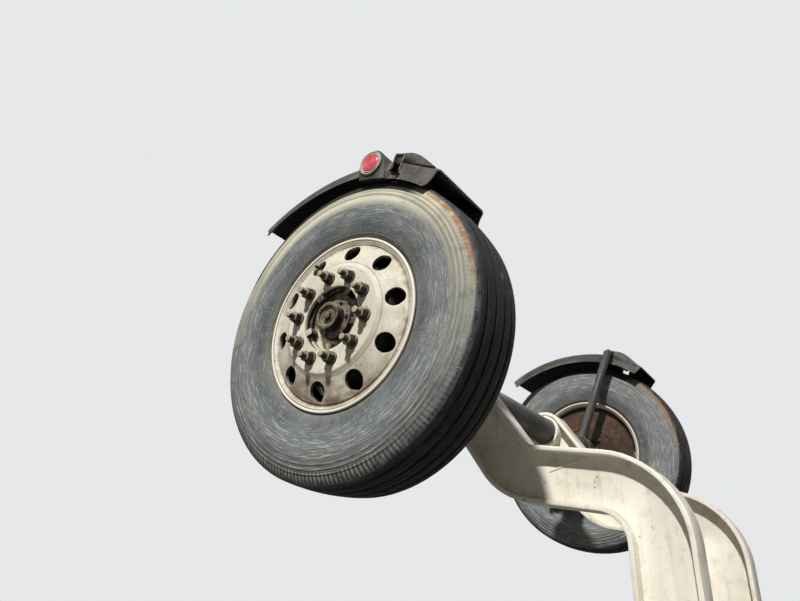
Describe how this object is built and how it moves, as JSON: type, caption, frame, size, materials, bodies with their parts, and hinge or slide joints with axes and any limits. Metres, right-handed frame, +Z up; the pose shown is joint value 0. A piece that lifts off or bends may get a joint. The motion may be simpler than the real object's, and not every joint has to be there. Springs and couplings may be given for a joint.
{
  "type": "raised trailing axle assembly of a concrete mixer truck",
  "caption": "Swing-frame trailing axle held raised: swan-neck arms, axle beam, disc wheels with ribbed tyres, drum brakes, mudguards and marker lamps.",
  "frame": {"origin": "middle of the mounting bolt pattern, on the plate's face against the tail of the truck's frame", "axes": "+X to the truck's front, out of the mounting face; +Y to the truck's left, along the axle; +Z up"},
  "size_m": [1.4488, 2.5688, 2.3336],
  "materials": {
    "arm_paint": "dusty cream paint",
    "axle_paint": "dusty black paint",
    "rim_paint": "dirty off-white paint",
    "bare_iron": "rusty, dusty",
    "hub_iron": "oily, dusty",
    "guard_plastic": "moulded, dusty",
    "lens": "clear red",
    "bezel": "grey rubber, dusty",
    "tyre": "dusty, worn"
  },
  "bodies": {
    "frame_hanger": {"hanger_beam": "arm_paint", "hanger_cheeks_right": "arm_paint", "hanger_cheeks_left": "arm_paint", "pivot_pin_right": "bare_iron", "pivot_pin_left": "bare_iron"},
    "swing_frame": {"arm_right": "arm_paint", "arm_left": "arm_paint", "cross_tube": "arm_paint", "lift_lever_right": "arm_paint", "lift_lever_left": "arm_paint", "axle_beam": "axle_paint", "spindle_right": "bare_iron", "spindle_left": "bare_iron", "brake_plate_right": "bare_iron", "brake_plate_left": "bare_iron", "brake_chamber_right": "axle_paint", "brake_chamber_left": "axle_paint", "slack_adjuster_right": "bare_iron", "slack_adjuster_left": "bare_iron", "guard_bracket_right": "axle_paint", "guard_bracket_left": "axle_paint", "mudguard_right": "guard_plastic", "mudguard_left": "guard_plastic", "lamp_bezel_right": "bezel", "lamp_bezel_left": "bezel", "lamp_lens_right": "lens", "lamp_lens_left": "lens"},
    "wheel_right": {"tyre_right": "tyre", "rim_right": "rim_paint", "disc_right": "rim_paint", "hub_right": "hub_iron", "hub_cap_right": "hub_iron", "brake_drum_right": "bare_iron", "studs_right": "hub_iron", "valve_right": "hub_iron"},
    "wheel_left": {"tyre_left": "tyre", "rim_left": "rim_paint", "disc_left": "rim_paint", "hub_left": "hub_iron", "hub_cap_left": "hub_iron", "brake_drum_left": "bare_iron", "studs_left": "hub_iron", "valve_left": "hub_iron"}
  },
  "joints": [
    {"name": "swing", "type": "hinge", "parent": "frame_hanger", "child": "swing_frame", "pos_m": [-0.2, 0, 0], "axis": [0, -1, 0], "range_deg": [0, 76]},
    {"name": "wheel_right_spin", "type": "hinge", "parent": "swing_frame", "child": "wheel_right", "pos_m": [-0.927, -1.08, 1.5], "axis": [0, 1, 0], "continuous": true},
    {"name": "wheel_left_spin", "type": "hinge", "parent": "swing_frame", "child": "wheel_left", "pos_m": [-0.927, 1.08, 1.5], "axis": [0, 1, 0], "continuous": true}
  ]
}
